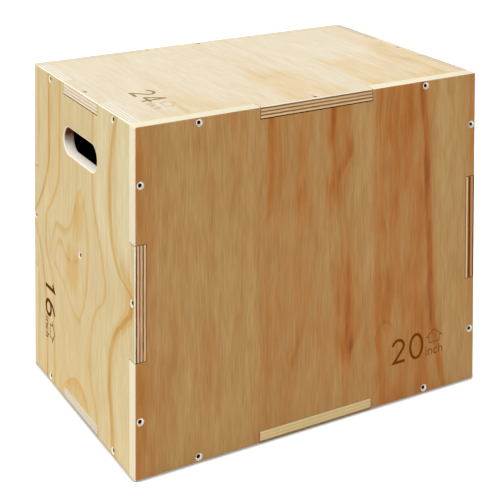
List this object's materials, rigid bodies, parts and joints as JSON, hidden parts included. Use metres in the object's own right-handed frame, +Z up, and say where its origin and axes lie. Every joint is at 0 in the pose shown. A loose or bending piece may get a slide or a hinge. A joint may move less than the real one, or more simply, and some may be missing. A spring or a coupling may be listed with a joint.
{
  "type": "plyo box",
  "caption": "Plywood jump box of tabbed and screwed panels with an inner brace and a hand hole in each end; it stands on any face to give different jump heights.",
  "frame": {"origin": "middle of the underside, on the floor", "axes": "+X along the length to the right end, +Y along the depth from the front to the back, +Z up"},
  "size_m": [0.6096, 0.4064, 0.508],
  "materials": {
    "wall_plywood": "satin, warm tan face veneer",
    "end_plywood": "satin, pale yellow face veneer",
    "deck_plywood": "satin, pale cream face veneer",
    "brace_plywood": "raw sanded veneer",
    "screw_zinc": "zinc plated"
  },
  "bodies": {
    "root": {"back_bottom_edge_screw_left": "screw_zinc", "back_bottom_edge_screw_right": "screw_zinc", "back_left_edge_screw_bottom": "screw_zinc", "back_left_edge_screw_top": "screw_zinc", "back_panel": "wall_plywood", "back_right_edge_screw_bottom": "screw_zinc", "back_right_edge_screw_top": "screw_zinc", "back_top_edge_screw_left": "screw_zinc", "back_top_edge_screw_right": "screw_zinc", "bottom_panel": "deck_plywood", "bottom_tab_screw_back": "screw_zinc", "bottom_tab_screw_front": "screw_zinc", "bottom_tab_screw_left": "screw_zinc", "bottom_tab_screw_right": "screw_zinc", "center_brace": "brace_plywood", "front_bottom_edge_screw_left": "screw_zinc", "front_bottom_edge_screw_right": "screw_zinc", "front_left_edge_screw_bottom": "screw_zinc", "front_left_edge_screw_top": "screw_zinc", "front_panel": "wall_plywood", "front_right_edge_screw_bottom": "screw_zinc", "front_right_edge_screw_top": "screw_zinc", "front_top_edge_screw_left": "screw_zinc", "front_top_edge_screw_right": "screw_zinc", "left_bottom_edge_screw_back": "screw_zinc", "left_bottom_edge_screw_front": "screw_zinc", "left_brace_screw": "screw_zinc", "left_end_panel": "end_plywood", "left_tab_screw_back": "screw_zinc", "left_tab_screw_front": "screw_zinc", "left_top_edge_screw_back": "screw_zinc", "left_top_edge_screw_front": "screw_zinc", "right_bottom_edge_screw_back": "screw_zinc", "right_bottom_edge_screw_front": "screw_zinc", "right_brace_screw": "screw_zinc", "right_end_panel": "end_plywood", "right_tab_screw_back": "screw_zinc", "right_tab_screw_front": "screw_zinc", "right_top_edge_screw_back": "screw_zinc", "right_top_edge_screw_front": "screw_zinc", "top_panel": "deck_plywood", "top_tab_screw_back": "screw_zinc", "top_tab_screw_front": "screw_zinc", "top_tab_screw_left": "screw_zinc", "top_tab_screw_right": "screw_zinc"}
  },
  "joints": []
}
